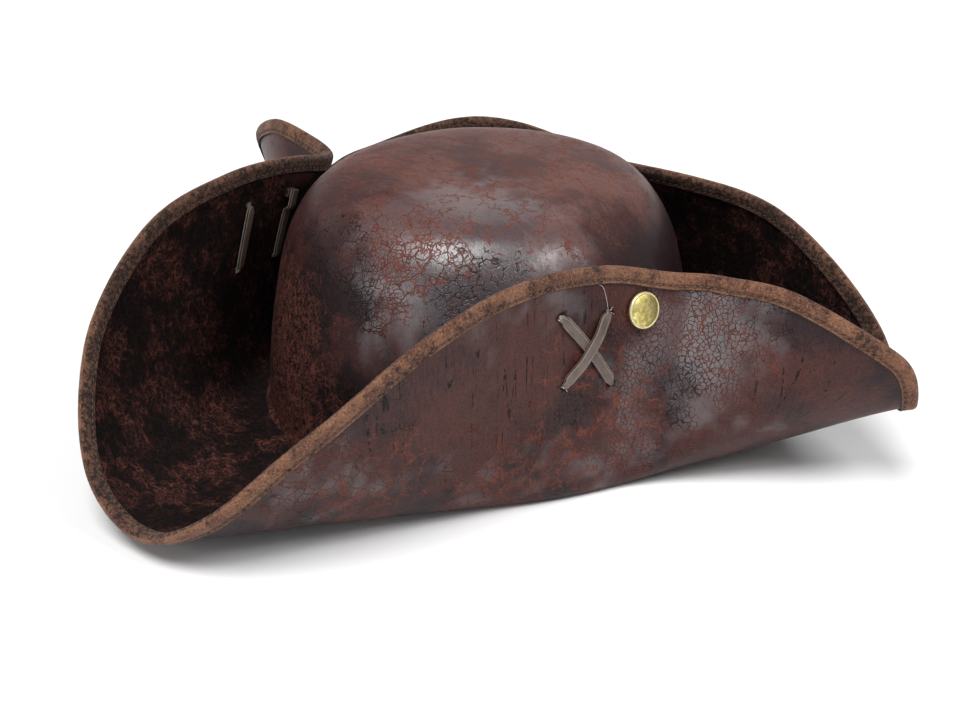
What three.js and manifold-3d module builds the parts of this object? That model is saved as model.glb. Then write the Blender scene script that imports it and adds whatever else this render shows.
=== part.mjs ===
// Tricorn hat of moulded faux leather: a soft crown and a wide brim turned up on three sides, a folded
// tape round its rim, a crossed lace and a domed stud on each side flap.
// Millimetres, +Z up. The front corner points to -Y and the wearer's left is +X.

import * as THREE from 'three';
import Module from 'manifold-3d';
import { mergeVertices } from 'three/addons/utils/BufferGeometryUtils.js';

const wasm = await Module();
wasm.setup();

// Driving dimensions of the moulded body
const wall = 2;
const crownHalfLength = 100;
const crownHalfWidth = 97;
const crownHeight = 114.5;
const crownRoundness = 1.7;
const crownFullness = 0.13;
const crownDoming = 0.05;
const rootRadius = 5;
const levelStrip = 3;
const brimWidth = 112;

// Driving dimensions of the rim's tape
const tapeDepth = 7.5;
const tapeThickness = 1;

// Driving dimensions of the laces
const laceWidth = 4.8;
const laceNeckWidth = 3.2;
const laceThickness = 1;
const laceTurn = 3.6;
const laceNeckTurn = 1.2;
const laceClearance = 0.6;
const laceHoleDiameter = 5.6;
const laceHeight = 30;
const laceBelowTape = 12;
const laceTail = 8;
const laceTuck = 0.85;

// Driving dimensions of the studs
const studDiameter = 16;
const studRise = 3;
const studEdge = 0.8;
const studClearance = 0.9;
const studPostDiameter = 3;
const studPostClearance = 0.4;
const studBackDiameter = 8;
const studBackThickness = 1;
const studBelowTape = 10;

// Gap between pieces that lie on each other
const gap = 0.35;

// Sections of the brim from the front corner round to the middle of the back; the other side mirrors them.
// angle is in degrees round the crown. The other columns are shares of the brim's width. reach, drift and
// rise lead from the crown's root to the rim: outwards, along the crown and up. level is how far the
// section leaves the crown flat, and bendOut and bendUp place the handle that curls it up to the rim.
const brimSections = [
  { angle: 0, reach: 0.91, drift: 0, rise: 0.08, level: 0.49, bendOut: 0.76, bendUp: 0.06 },
  { angle: 11, reach: 0.89, drift: -0.03, rise: 0.23, level: 0.46, bendOut: 0.71, bendUp: 0.07 },
  { angle: 22, reach: 0.71, drift: 0, rise: 0.58, level: 0.41, bendOut: 0.57, bendUp: 0.18 },
  { angle: 34, reach: 0.41, drift: 0.03, rise: 0.86, level: 0.3, bendOut: 0.35, bendUp: 0.29 },
  { angle: 48, reach: 0.12, drift: 0.06, rise: 0.94, level: 0.17, bendOut: 0.18, bendUp: 0.39 },
  { angle: 62, reach: -0.04, drift: 0.19, rise: 0.9, level: 0.13, bendOut: 0.07, bendUp: 0.39 },
  { angle: 73, reach: -0.01, drift: 0.33, rise: 0.81, level: 0.15, bendOut: 0.04, bendUp: 0.36 },
  { angle: 80, reach: 0.19, drift: 0.33, rise: 0.82, level: 0.19, bendOut: 0.21, bendUp: 0.36 },
  { angle: 88, reach: 0.53, drift: 0.23, rise: 0.82, level: 0.25, bendOut: 0.47, bendUp: 0.43 },
  { angle: 97, reach: 0.91, drift: 0.15, rise: 0.61, level: 0.33, bendOut: 0.68, bendUp: 0.41 },
  { angle: 106, reach: 0.95, drift: -0.02, rise: 0.38, level: 0.38, bendOut: 0.75, bendUp: 0.32 },
  { angle: 115, reach: 0.81, drift: -0.13, rise: 0.42, level: 0.41, bendOut: 0.65, bendUp: 0.2 },
  { angle: 127, reach: 0.67, drift: -0.3, rise: 0.54, level: 0.33, bendOut: 0.48, bendUp: 0.24 },
  { angle: 150, reach: 0.25, drift: -0.31, rise: 0.8, level: 0.21, bendOut: 0.21, bendUp: 0.33 },
  { angle: 180, reach: -0.14, drift: 0, rise: 0.83, level: 0.16, bendOut: 0.08, bendUp: 0.36 },
];
const bendDrift = 0.6;

// What each flap carries. laceSection and studSection are places counted in sections from the front corner.
// spacing and lean are shares of the lace's height: spacing parts its holes along the rim, and lean is how
// far the lower ones lie behind the upper ones.
const fastenings = {
  left: { laceSection: 4.81, spacing: 0.87, lean: 0.2, studSection: 5.6 },
  right: { laceSection: 4.73, spacing: 0.96, lean: -0.1, studSection: 5.65 },
};

// Fineness of the faceted shapes
const facetsPerSection = 4;
const domeStart = 0.15;
const domeRows = 6;
const domeCrowding = 3;
const rootRows = 2;
const brimRows = 6;
const curveSamples = 60;
const holeFacets = 16;
const studFacets = 16;
const studDomeRows = 2;

// Small steps that slopes are measured over: in sections, and in millimetres on a flap
const sectionStep = 0.002;
const flapStep = 0.5;

// Ways down the hat at which its stretches end
const crownEnd = 1;
const rootEnd = 2;
const stripEnd = 3;
const rimEnd = 4;

const mirrorRow = (row) => ({ ...row, angle: 360 - row.angle, drift: -row.drift });
const sections = [...brimSections, ...brimSections.slice(1, -1).reverse().map(mirrorRow)];

const catmullRom = (a, b, c, d, t) =>
  b + 0.5 * t * (c - a + t * (2 * a - 5 * b + 4 * c - d + t * (3 * (b - c) + d - a)));

// The table's columns at any place round the hat, the place counted in sections
function sectionAt(place) {
  const first = Math.floor(place);
  const rows = [-1, 0, 1, 2].map((step) => {
    const lap = Math.floor((first + step) / sections.length);
    const row = sections[first + step - lap * sections.length];
    return { ...row, angle: row.angle + 360 * lap };
  });
  const column = (name) => catmullRom(...rows.map((row) => row[name]), place - first);
  return Object.fromEntries(Object.keys(sections[0]).map((name) => [name, column(name)]));
}

// The brim's section as a curve in space, from the level strip's outer edge to the rim
const brimCurves = new Map();
function brimCurveAt(place) {
  if (brimCurves.has(place)) return brimCurves.get(place);
  const row = sectionAt(place);
  const angle = THREE.MathUtils.degToRad(row.angle);
  const sine = Math.sin(angle);
  const cosine = Math.cos(angle);
  const foot = new THREE.Vector3(crownHalfWidth * sine, -crownHalfLength * cosine, wall / 2);
  const out = new THREE.Vector3(crownHalfLength * sine, -crownHalfWidth * cosine, 0).normalize();
  const along = new THREE.Vector3(-out.y, out.x, 0);
  const offset = (reach, drift, rise) => foot.clone()
    .addScaledVector(out, rootRadius + reach)
    .addScaledVector(along, drift)
    .setZ(wall / 2 + rise);
  const curve = new THREE.CubicBezierCurve3(
    offset(levelStrip, 0, 0),
    offset(row.level * brimWidth, 0, 0),
    offset(row.bendOut * brimWidth, bendDrift * row.drift * brimWidth, row.bendUp * brimWidth),
    offset(row.reach * brimWidth, row.drift * brimWidth, row.rise * brimWidth),
  );
  curve.arcLengthDivisions = curveSamples;
  const entry = { foot, out, curve, length: curve.getLength() };
  brimCurves.set(place, entry);
  return entry;
}

// Middle of the wall. way runs from 0 at the crown's top down to its foot, round its root, over the level
// strip and over the brim to the rim.
function middlePoint(place, way) {
  const { foot, out, curve } = brimCurveAt(place);
  const side = foot.clone().addScaledVector(out, -wall / 2);
  const rootReach = rootRadius + wall / 2;
  if (way <= crownEnd) {
    const turn = Math.max(way, 0) ** domeCrowding * Math.PI / 2;
    const spread = Math.sin(turn) ** (2 * crownFullness);
    const flat = Math.abs(Math.cos(turn)) ** (2 / crownRoundness);
    const lift = THREE.MathUtils.lerp(flat, 1 - spread * spread, crownDoming);
    const height = crownHeight - wall / 2 - rootReach;
    return new THREE.Vector3(side.x * spread, side.y * spread, rootReach + height * lift);
  }
  if (way <= rootEnd) {
    const turn = (way - crownEnd) * Math.PI / 2;
    side.addScaledVector(out, rootReach * (1 - Math.cos(turn)));
    return side.setZ(wall / 2 + rootRadius * (1 - Math.sin(turn)));
  }
  if (way <= stripEnd) return side.addScaledVector(out, rootReach + levelStrip * (way - rootEnd));
  return curve.getPointAt(Math.min(way - stripEnd, 1));
}

// Unit normal of the wall, up on the brim and away from the head on the crown
function normalAt(place, way) {
  const round = middlePoint(place + sectionStep, way).sub(middlePoint(place - sectionStep, way));
  const further = middlePoint(place, Math.min(way + sectionStep, rimEnd));
  return further.sub(middlePoint(place, way - sectionStep)).cross(round).normalize();
}

const skinPoint = (place, way, lift) =>
  middlePoint(place, way).addScaledVector(normalAt(place, way), lift);

// Direction of the rim, towards the next section
function rimHeadingAt(place) {
  const before = middlePoint(place - sectionStep, rimEnd);
  return middlePoint(place + sectionStep, rimEnd).sub(before).normalize();
}

// way of a spot that lies a given distance below the tape's outer edge, square to the rim
function wayBelowRim(place, distance) {
  const { curve, length } = brimCurveAt(place);
  const slant = curve.getTangent(1).cross(rimHeadingAt(place)).length();
  return rimEnd - distance / (length * slant);
}

const wayOfEdge = (place) => wayBelowRim(place, tapeThickness + gap);

// Closed body through rings of points: the last ring joins the first, or else each end is capped by a fan
function loft(rings, joined) {
  const count = rings[0].length;
  const points = rings.flat();
  const faces = [];
  const last = joined ? rings.length : rings.length - 1;
  for (let ring = 0; ring < last; ring += 1) {
    const here = ring * count;
    const next = ((ring + 1) % rings.length) * count;
    for (let i = 0; i < count; i += 1) {
      const j = (i + 1) % count;
      faces.push(here + i, next + j, here + j, here + i, next + i, next + j);
    }
  }
  if (!joined) {
    [rings[0], rings.at(-1)].forEach((ring, end) => {
      const centre = ring.reduce((sum, point) => sum.add(point), new THREE.Vector3()).divideScalar(count);
      const start = end === 0 ? 0 : (rings.length - 1) * count;
      points.push(centre);
      for (let i = 0; i < count; i += 1) {
        const j = (i + 1) % count;
        const pair = end === 0 ? [start + i, start + j] : [start + j, start + i];
        faces.push(...pair, points.length - 1);
      }
    });
  }
  const geometry = new THREE.BufferGeometry().setFromPoints(points);
  geometry.setIndex(faces);
  return geometry;
}

// Solids for cutting, and back to geometry
function toSolid(geometry) {
  const bare = geometry.clone();
  bare.deleteAttribute('normal');
  bare.deleteAttribute('uv');
  const merged = mergeVertices(bare, 1e-4);
  return new wasm.Manifold(new wasm.Mesh({
    numProp: 3,
    vertProperties: new Float32Array(merged.attributes.position.array),
    triVerts: new Uint32Array(merged.index.array),
  }));
}

function toGeometry(solid) {
  const mesh = solid.getMesh();
  const geometry = new THREE.BufferGeometry();
  geometry.setAttribute('position', new THREE.BufferAttribute(new Float32Array(mesh.vertProperties), 3));
  geometry.setIndex(new THREE.BufferAttribute(new Uint32Array(mesh.triVerts), 1));
  return geometry;
}

const steps = (count, from, to) =>
  Array.from({ length: count }, (_, i) => THREE.MathUtils.lerp(from, to, (i + 1) / count));

const placesRound = Array.from(
  { length: sections.length * facetsPerSection },
  (_, i) => i / facetsPerSection,
);

// A spot on the left flap, along the rim from a place and below the tape, with the wall's normal there
function flapSpot(place, along, belowTape) {
  const wayAt = (where) => wayBelowRim(where, tapeDepth + belowTape);
  const pointAt = (where) => middlePoint(where, wayAt(where));
  const stepLength = pointAt(place + sectionStep).distanceTo(pointAt(place - sectionStep));
  const where = place + along * 2 * sectionStep / stepLength;
  return { point: pointAt(where), normal: normalAt(where, wayAt(where)) };
}

// Turns a shape that was made along Y to the wall's normal at a spot, and moves it there
function seatAt(spot, geometry) {
  const turn = new THREE.Quaternion().setFromUnitVectors(new THREE.Vector3(0, 1, 0), spot.normal);
  return geometry.applyQuaternion(turn).translate(...spot.point.toArray());
}

// Crown and brim, moulded in one piece and pierced for the laces and studs
function makeBody(piercings) {
  const crownWays = [
    domeStart,
    ...steps(domeRows, domeStart, crownEnd),
    ...steps(rootRows, crownEnd, rootEnd),
    stripEnd,
  ];
  const brimRow = (share) => (place) =>
    THREE.MathUtils.lerp(stripEnd, wayBelowRim(place, tapeDepth), share);
  const rows = [
    ...crownWays.map((way) => () => way),
    ...steps(brimRows, 0, 1).map(brimRow),
    wayOfEdge,
  ];
  const skin = (lift) => rows.map((row) => placesRound.map((place) => skinPoint(place, row(place), lift)));
  const shell = toSolid(loft([...skin(wall / 2), ...skin(-wall / 2).reverse()], false));
  return toGeometry(piercings.reduce((solid, piercing) => solid.subtract(piercing), shell));
}

// Round plug for a hole through the wall
function piercingAt(spot, diameter) {
  const length = wall + 2 * diameter;
  return seatAt(spot, new THREE.CylinderGeometry(diameter / 2, diameter / 2, length, holeFacets));
}

// Tape folded over the rim: a channel that runs round the whole hat
function makeBinding() {
  const inside = wall / 2 + gap;
  const outside = inside + tapeThickness;
  const rings = placesRound.map((place) => {
    const edge = wayBelowRim(place, tapeDepth);
    const wallEdge = middlePoint(place, wayOfEdge(place));
    const normal = normalAt(place, wayOfEdge(place));
    const outwards = rimHeadingAt(place).cross(normal);
    const beyond = (distance, lift) =>
      wallEdge.clone().addScaledVector(outwards, distance).addScaledVector(normal, lift);
    return [
      skinPoint(place, edge, inside),
      beyond(gap, inside),
      beyond(gap, -inside),
      skinPoint(place, edge, -inside),
      skinPoint(place, edge, -outside),
      beyond(gap, -outside),
      beyond(gap + tapeThickness, 0),
      beyond(gap, outside),
      skinPoint(place, edge, outside),
    ];
  });
  return loft(rings, true);
}

// A lacing's four holes on the left flap, as offsets along the rim and below the tape
function laceHoles({ spacing, lean }) {
  const corner = (end, row) => ({
    along: (end * spacing / 2 + row * lean) * laceHeight,
    below: laceBelowTape + row * laceHeight,
  });
  return {
    topFront: corner(-1, 0),
    topRear: corner(1, 0),
    bottomFront: corner(-1, 1),
    bottomRear: corner(1, 1),
  };
}

// One flat lace: out through the top rear hole, crosswise down, up inside, crosswise down again and up
// inside, where its end lies over its tail. side is -1 outside the flap and 1 inside it.
function laceStations(fastening) {
  const rest = wall / 2 + laceClearance + laceThickness / 2;
  const low = laceTuck * rest;
  const over = laceThickness + gap;
  const { topFront, topRear, bottomFront, bottomRear } = laceHoles(fastening);
  const runs = [
    { from: topRear, to: bottomFront, side: -1, crossing: over },
    { from: bottomFront, to: topFront, side: 1, crossing: 0 },
    { from: topFront, to: bottomRear, side: -1, crossing: 0 },
    { from: bottomRear, to: topRear, side: 1, crossing: 0 },
  ];
  const station = (hole, dx, dy, lift, width, heading) =>
    ({ along: hole.along + dx, below: hole.below + dy, lift, width, heading });
  const stations = [
    station(topRear, 0, -laceTail, rest, laceWidth, [0, 1]),
    station(topRear, 0, -laceTurn, rest, laceWidth, [0, 1]),
    station(topRear, 0, -laceNeckTurn, low, laceNeckWidth, [0, 1]),
  ];
  runs.forEach(({ from, to, side, crossing }, index) => {
    const dx = to.along - from.along;
    const dy = to.below - from.below;
    const length = Math.hypot(dx, dy);
    const heading = [dx / length, dy / length];
    const on = (distance, lift, width) =>
      station(from, heading[0] * distance, heading[1] * distance, side * lift, width, heading);
    stations.push(on(0, 0, laceNeckWidth));
    stations.push(on(laceNeckTurn, low, laceNeckWidth));
    stations.push(on(laceTurn, rest, laceWidth));
    stations.push(on(length / 2 - laceWidth, rest + crossing, laceWidth));
    stations.push(on(length / 2 + laceWidth, rest + crossing, laceWidth));
    if (index === runs.length - 1) {
      stations.push(on(length - 2 * laceTurn, rest, laceWidth));
      stations.push(on(length - laceTurn, rest + over + gap, laceWidth));
      stations.push(on(length + laceTail, rest + over, laceWidth));
    } else {
      stations.push(on(length - laceTurn, rest, laceWidth));
      stations.push(on(length - laceNeckTurn, low, laceNeckWidth));
    }
  });
  return stations;
}

function makeLace(fastening) {
  const { laceSection } = fastening;
  const placed = laceStations(fastening).map(({ along, below, lift, width, heading }) => {
    const spot = flapSpot(laceSection, along, below);
    const [rearward, downward] = heading;
    const ahead = flapSpot(laceSection, along + rearward * flapStep, below + downward * flapStep);
    const forward = ahead.point.sub(spot.point).normalize();
    const across = new THREE.Vector3().crossVectors(spot.normal, forward).normalize();
    return { centre: spot.point.clone().addScaledVector(spot.normal, lift), across, width };
  });
  const centres = placed.map((entry) => entry.centre);
  const rings = placed.map(({ centre, across, width }, i) => {
    const before = centres[Math.max(i - 1, 0)];
    const after = centres[Math.min(i + 1, centres.length - 1)];
    const tangent = after.clone().sub(before).normalize();
    const face = new THREE.Vector3().crossVectors(tangent, across).normalize();
    const edge = new THREE.Vector3().crossVectors(face, tangent).normalize();
    const corner = (u, v) =>
      centre.clone().addScaledVector(edge, u * width / 2).addScaledVector(face, v * laceThickness / 2);
    return [corner(-1, -1), corner(-1, 1), corner(1, 1), corner(1, -1)];
  });
  return loft(rings, false);
}

// Domed cap outside the flap, post through it and plain round back inside
function makeStud({ studSection }) {
  const seat = wall / 2 + studClearance;
  const dome = steps(studDomeRows, Math.PI / 2, 0).map((turn) => new THREE.Vector2(
    studDiameter / 2 * Math.sin(turn),
    -seat - studEdge - (studRise - studEdge) * Math.cos(turn),
  ));
  const profile = [
    ...dome.reverse(),
    new THREE.Vector2(studDiameter / 2, -seat - studEdge),
    new THREE.Vector2(studDiameter / 2, -seat),
    new THREE.Vector2(studPostDiameter / 2, -seat),
    new THREE.Vector2(studPostDiameter / 2, seat),
    new THREE.Vector2(studBackDiameter / 2, seat),
    new THREE.Vector2(studBackDiameter / 2, seat + studBackThickness),
    new THREE.Vector2(0, seat + studBackThickness),
  ];
  const geometry = toGeometry(toSolid(new THREE.LatheGeometry(profile, studFacets)));
  return seatAt(flapSpot(studSection, 0, studBelowTape), geometry);
}

// The same shape on the right flap
function mirrored(geometry) {
  const copy = geometry.clone();
  const position = copy.attributes.position;
  for (let i = 0; i < position.count; i += 1) position.setX(i, -position.getX(i));
  const index = copy.index.array;
  for (let i = 0; i < index.length; i += 3) [index[i], index[i + 1]] = [index[i + 1], index[i]];
  return copy;
}

const leather = new THREE.MeshStandardMaterial({ color: 0x3a2427, roughness: 0.5, metalness: 0 });
const tape = new THREE.MeshStandardMaterial({ color: 0x6b4a38, roughness: 0.9, metalness: 0 });
const strap = new THREE.MeshStandardMaterial({ color: 0x5e4f49, roughness: 0.7, metalness: 0 });
const brass = new THREE.MeshStandardMaterial({ color: 0xb09a48, roughness: 0.35, metalness: 0.9 });

// Plugs for all the holes of the left flap, if it carries this fastening
function piercingsFor(fastening) {
  const { laceSection, studSection } = fastening;
  const studHoleDiameter = studPostDiameter + 2 * studPostClearance;
  return [
    ...Object.values(laceHoles(fastening)).map(({ along, below }) =>
      piercingAt(flapSpot(laceSection, along, below), laceHoleDiameter)),
    piercingAt(flapSpot(studSection, 0, studBelowTape), studHoleDiameter),
  ];
}

const { left, right } = fastenings;
const piercings = [...piercingsFor(left), ...piercingsFor(right).map(mirrored)].map(toSolid);

function addPiece(name, geometry, material) {
  const mesh = new THREE.Mesh(geometry, material);
  mesh.name = name;
  hat.add(mesh);
}

const hat = new THREE.Group();
addPiece('hat_body', makeBody(piercings), leather);
addPiece('rim_binding', makeBinding(), tape);
addPiece('lace_left', makeLace(left), strap);
addPiece('lace_right', mirrored(makeLace(right)), strap);
addPiece('stud_left', makeStud(left), brass);
addPiece('stud_right', mirrored(makeStud(right)), brass);

// The origin lies under the middle of the whole hat, on the surface that it rests on
const box = new THREE.Box3().setFromObject(hat);
const middle = box.getCenter(new THREE.Vector3());
hat.position.set(-middle.x, -middle.y, -box.min.z);

const model = new THREE.Group();
model.add(hat);

export default model;
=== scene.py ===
import math
import bpy
import numpy as np
from mathutils import Matrix, Vector, noise
from mathutils.kdtree import KDTree


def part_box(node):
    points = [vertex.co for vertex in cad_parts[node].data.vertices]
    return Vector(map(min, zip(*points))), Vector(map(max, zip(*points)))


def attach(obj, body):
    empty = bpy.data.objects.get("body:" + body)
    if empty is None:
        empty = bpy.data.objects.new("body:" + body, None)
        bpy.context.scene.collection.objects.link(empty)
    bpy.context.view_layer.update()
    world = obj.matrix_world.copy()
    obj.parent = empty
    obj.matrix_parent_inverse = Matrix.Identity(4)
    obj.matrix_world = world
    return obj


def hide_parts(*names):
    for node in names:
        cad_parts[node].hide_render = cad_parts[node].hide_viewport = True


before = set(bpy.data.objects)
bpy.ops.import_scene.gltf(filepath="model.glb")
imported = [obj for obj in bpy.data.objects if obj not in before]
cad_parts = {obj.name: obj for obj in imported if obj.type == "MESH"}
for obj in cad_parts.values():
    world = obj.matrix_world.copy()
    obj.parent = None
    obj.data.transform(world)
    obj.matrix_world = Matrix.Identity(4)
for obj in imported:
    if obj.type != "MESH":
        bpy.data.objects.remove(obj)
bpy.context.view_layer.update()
bpy.ops.object.select_all(action="DESELECT")
mm = 0.001
print("frame loaded")


# the sheet's shape, centred on the crown
bodyForm = {
    "wall": 2 * mm,
    "crownHalfLength": 100 * mm,
    "crownHalfWidth": 97 * mm,
    "crownHeight": 114.5 * mm,
    "crownRoundness": 1.7,
    "crownFullness": 0.13,
    "crownDoming": 0.05,
    "domeCrowding": 3,
    "rootRadius": 5 * mm,
    "levelStrip": 3 * mm,
    "brimWidth": 112 * mm,
    "bendDrift": 0.6,
    "unevenness": 0.55 * mm,     # how far the sheet strays from its mould
    "unevenSpan": 34 * mm,
    "evenBelow": 3 * mm,
    "unevenFade": 12 * mm,
    "pull": 0.45 * mm,           # how deep a lace draws the sheet in at its hole
    "pullSpan": 4.5 * mm,
    "domeStart": 0.15,
    "domeRows": 36,
    "rootRows": 8,
    "brimRows": 58,
    "placesRound": 336,
    "ringSpread": 0.27,          # between the open ring at the top and the row under it
    "holeSides": 28,
    "smoothAngle": 50,
}

# the brim's sections from the front corner to the middle of the back, in degrees and shares of its width
brimColumns = ("angle", "reach", "drift", "rise", "level", "bendOut", "bendUp")
brimSections = np.array([
    (0, 0.91, 0, 0.08, 0.49, 0.76, 0.06),
    (11, 0.89, -0.03, 0.23, 0.46, 0.71, 0.07),
    (22, 0.71, 0, 0.58, 0.41, 0.57, 0.18),
    (34, 0.41, 0.03, 0.86, 0.3, 0.35, 0.29),
    (48, 0.12, 0.06, 0.94, 0.17, 0.18, 0.39),
    (62, -0.04, 0.19, 0.9, 0.13, 0.07, 0.39),
    (73, -0.01, 0.33, 0.81, 0.15, 0.04, 0.36),
    (80, 0.19, 0.33, 0.82, 0.19, 0.21, 0.36),
    (88, 0.53, 0.23, 0.82, 0.25, 0.47, 0.43),
    (97, 0.91, 0.15, 0.61, 0.33, 0.68, 0.41),
    (106, 0.95, -0.02, 0.38, 0.38, 0.75, 0.32),
    (115, 0.81, -0.13, 0.42, 0.41, 0.65, 0.2),
    (127, 0.67, -0.3, 0.54, 0.33, 0.48, 0.24),
    (150, 0.25, -0.31, 0.8, 0.21, 0.21, 0.33),
    (180, -0.14, 0, 0.83, 0.16, 0.08, 0.36),
], float)
mirrorSigns = (-1, 1, -1, 1, 1, 1, 1)
fullTurn = np.array((360, 0, 0, 0, 0, 0, 0), float)
allSections = np.vstack([brimSections, brimSections[-2:0:-1] * mirrorSigns + fullTurn])
sectionCount = len(allSections)

# ways down the sheet at which its stretches end, and the step that slopes are measured over
crownEnd, rootEnd, stripEnd, rimEnd = 1, 2, 3, 4
slopeStep = 0.002
curveSamples = 60


def unit(vectors):
    return vectors / np.linalg.norm(vectors, axis=-1, keepdims=True)


def sectionAt(place):
    first = np.floor(place).astype(int)
    t = (place - first)[:, None]
    rows = []
    for step in (-1, 0, 1, 2):
        lap, index = np.divmod(first + step, sectionCount)
        row = allSections[index].copy()
        row[:, 0] += 360 * lap
        rows.append(row)
    a, b, c, d = rows
    found = b + 0.5 * t * (c - a + t * (2 * a - 5 * b + 4 * c - d + t * (3 * (b - c) + d - a)))
    return dict(zip(brimColumns, found.T))


def handlesAt(place):
    # foot of the section on the crown's ellipse, its outward direction and its curve's four handles
    form, row = bodyForm, sectionAt(place)
    angle = np.radians(row["angle"])
    halfWidth, halfLength = form["crownHalfWidth"], form["crownHalfLength"]
    level = np.full(len(place), form["wall"] / 2)
    flat = 0 * angle
    foot = np.stack([halfWidth * np.sin(angle), -halfLength * np.cos(angle), level], 1)
    out = unit(np.stack([halfLength * np.sin(angle), -halfWidth * np.cos(angle), flat], 1))
    along = np.stack([-out[:, 1], out[:, 0], flat], 1)

    def handle(reach, drift, rise):
        point = foot + out * (form["rootRadius"] + reach)[:, None] + along * drift[:, None]
        point[:, 2] = form["wall"] / 2 + rise
        return point

    width = form["brimWidth"]
    bend = form["bendDrift"] * row["drift"] * width
    return foot, out, (
        handle(flat + form["levelStrip"], flat, flat),
        handle(row["level"] * width, flat, flat),
        handle(row["bendOut"] * width, bend, row["bendUp"] * width),
        handle(row["reach"] * width, row["drift"] * width, row["rise"] * width),
    )


def onCurve(handles, t):
    a, b, c, d = handles
    s = 1 - t
    return a * s ** 3 + 3 * b * s * s * t + 3 * c * s * t * t + d * t ** 3


def curveLengths(handles):
    shares = np.linspace(0, 1, curveSamples + 1)[None, :, None]
    samples = onCurve([handle[:, None, :] for handle in handles], shares)
    steps = np.linalg.norm(np.diff(samples, axis=1), axis=2)
    return np.concatenate([np.zeros((len(steps), 1)), np.cumsum(steps, axis=1)], axis=1)


def brimPoint(handles, share):
    lengths = curveLengths(handles)
    target = np.clip(share, 0, 1) * lengths[:, -1]
    index = np.clip((lengths < target[:, None]).sum(1) - 1, 0, curveSamples - 1)
    pick = np.arange(len(index))
    low, high = lengths[pick, index], lengths[pick, index + 1]
    t = (index + (target - low) / (high - low)) / curveSamples
    return onCurve(handles, t[:, None])


def domeHeight(spread):
    # height of the crown over its root, where spread is the share of the way out to its side
    form = bodyForm
    turn = np.arcsin(np.clip(spread, 0, 1) ** (1 / (2 * form["crownFullness"])))
    flat = np.cos(turn) ** (2 / form["crownRoundness"])
    lift = flat + (1 - spread ** 2 - flat) * form["crownDoming"]
    root = form["rootRadius"] + form["wall"] / 2
    return root + (form["crownHeight"] - form["wall"] / 2 - root) * lift


def middleAt(place, way):
    # middle of the wall, way running down the crown, round its root, over the strip and over the brim
    form = bodyForm
    foot, out, handles = handlesAt(place)
    side = foot - out * form["wall"] / 2
    root = form["rootRadius"] + form["wall"] / 2
    turn = np.clip(way, 0, 1) ** form["domeCrowding"] * np.pi / 2
    spread = np.sin(turn) ** (2 * form["crownFullness"])
    crown = side * spread[:, None]
    crown[:, 2] = domeHeight(spread)
    turn = np.clip(way - crownEnd, 0, 1) * np.pi / 2
    valley = side + out * (root * (1 - np.cos(turn)))[:, None]
    valley[:, 2] = form["wall"] / 2 + form["rootRadius"] * (1 - np.sin(turn))
    strip = side + out * (root + form["levelStrip"] * np.clip(way - rootEnd, 0, 1))[:, None]
    point = np.where((way <= crownEnd)[:, None], crown, np.where((way <= rootEnd)[:, None], valley, strip))
    onBrim = way > stripEnd
    if onBrim.any():
        point[onBrim] = brimPoint([handle[onBrim] for handle in handles], way[onBrim] - stripEnd)
    return point


def normalAt(place, way):
    around = middleAt(place + slopeStep, way) - middleAt(place - slopeStep, way)
    down = middleAt(place, np.minimum(way + slopeStep, rimEnd)) - middleAt(place, way - slopeStep)
    return unit(np.cross(down, around))


def rimHeadingAt(place):
    rim = np.full(len(place), float(rimEnd))
    return unit(middleAt(place + slopeStep, rim) - middleAt(place - slopeStep, rim))


def wayBelowRim(place, distance):
    # square to the rim, and counted from the tape's outer edge
    handles = handlesAt(place)[2]
    slant = np.linalg.norm(np.cross(unit(handles[3] - handles[2]), rimHeadingAt(place)), axis=1)
    return rimEnd - distance / (curveLengths(handles)[:, -1] * slant)


# what each flap carries, as places in sections and shares of the lace's height
fastenings = {
    "left": {"laceSection": 4.81, "spacing": 0.87, "lean": 0.2, "studSection": 5.6, "side": 1},
    "right": {"laceSection": 4.73, "spacing": 0.96, "lean": -0.1, "studSection": 5.65, "side": -1},
}
laceForm = {
    "width": 5.1 * mm,
    "neckWidth": 3.4 * mm,
    "thickness": 1.6 * mm,
    "neckThickness": 1.9 * mm,
    "turn": 3.6 * mm,
    "neckTurn": 1.2 * mm,
    "clearance": 0.2 * mm,
    "height": 30 * mm,
    "belowTape": 12 * mm,
    "tail": 4 * mm,
    "tuck": 0.85,
    "gap": 0.35 * mm,
    "holeDiameter": 3.6 * mm,
    "stepsPerStation": 6,
    "step": 0.4 * mm,
    "smoothAngle": 35,
}
tapeForm = {
    "depth": 7.5 * mm,
    "thickness": 1 * mm,
    "gap": 0.25 * mm,
    "stitchInset": 1.9 * mm,
    "grooveDepth": 0.38 * mm,
    "grooveWidth": 1.3 * mm,
    "edgeWander": 0.28 * mm,
    "wanderSpan": 11 * mm,
    "swell": 0.13 * mm,
    "swellSpan": 6 * mm,
    "pitch": 3.3 * mm,
    "stitchPull": 0.35,          # how much deeper the groove is at a stitch
    "seamWander": 0.6,           # how far the seam follows the edge
    "swellStart": (7, 3, 1),
    "innerFrom": 0.6 * mm,
    "lipShadowBand": 0.45 * mm,
    "faceSteps": 15,
    "lipSteps": 5,
    "innerSteps": 4,
    "foldSteps": 9,
    "placesRound": 1456,
}
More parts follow.
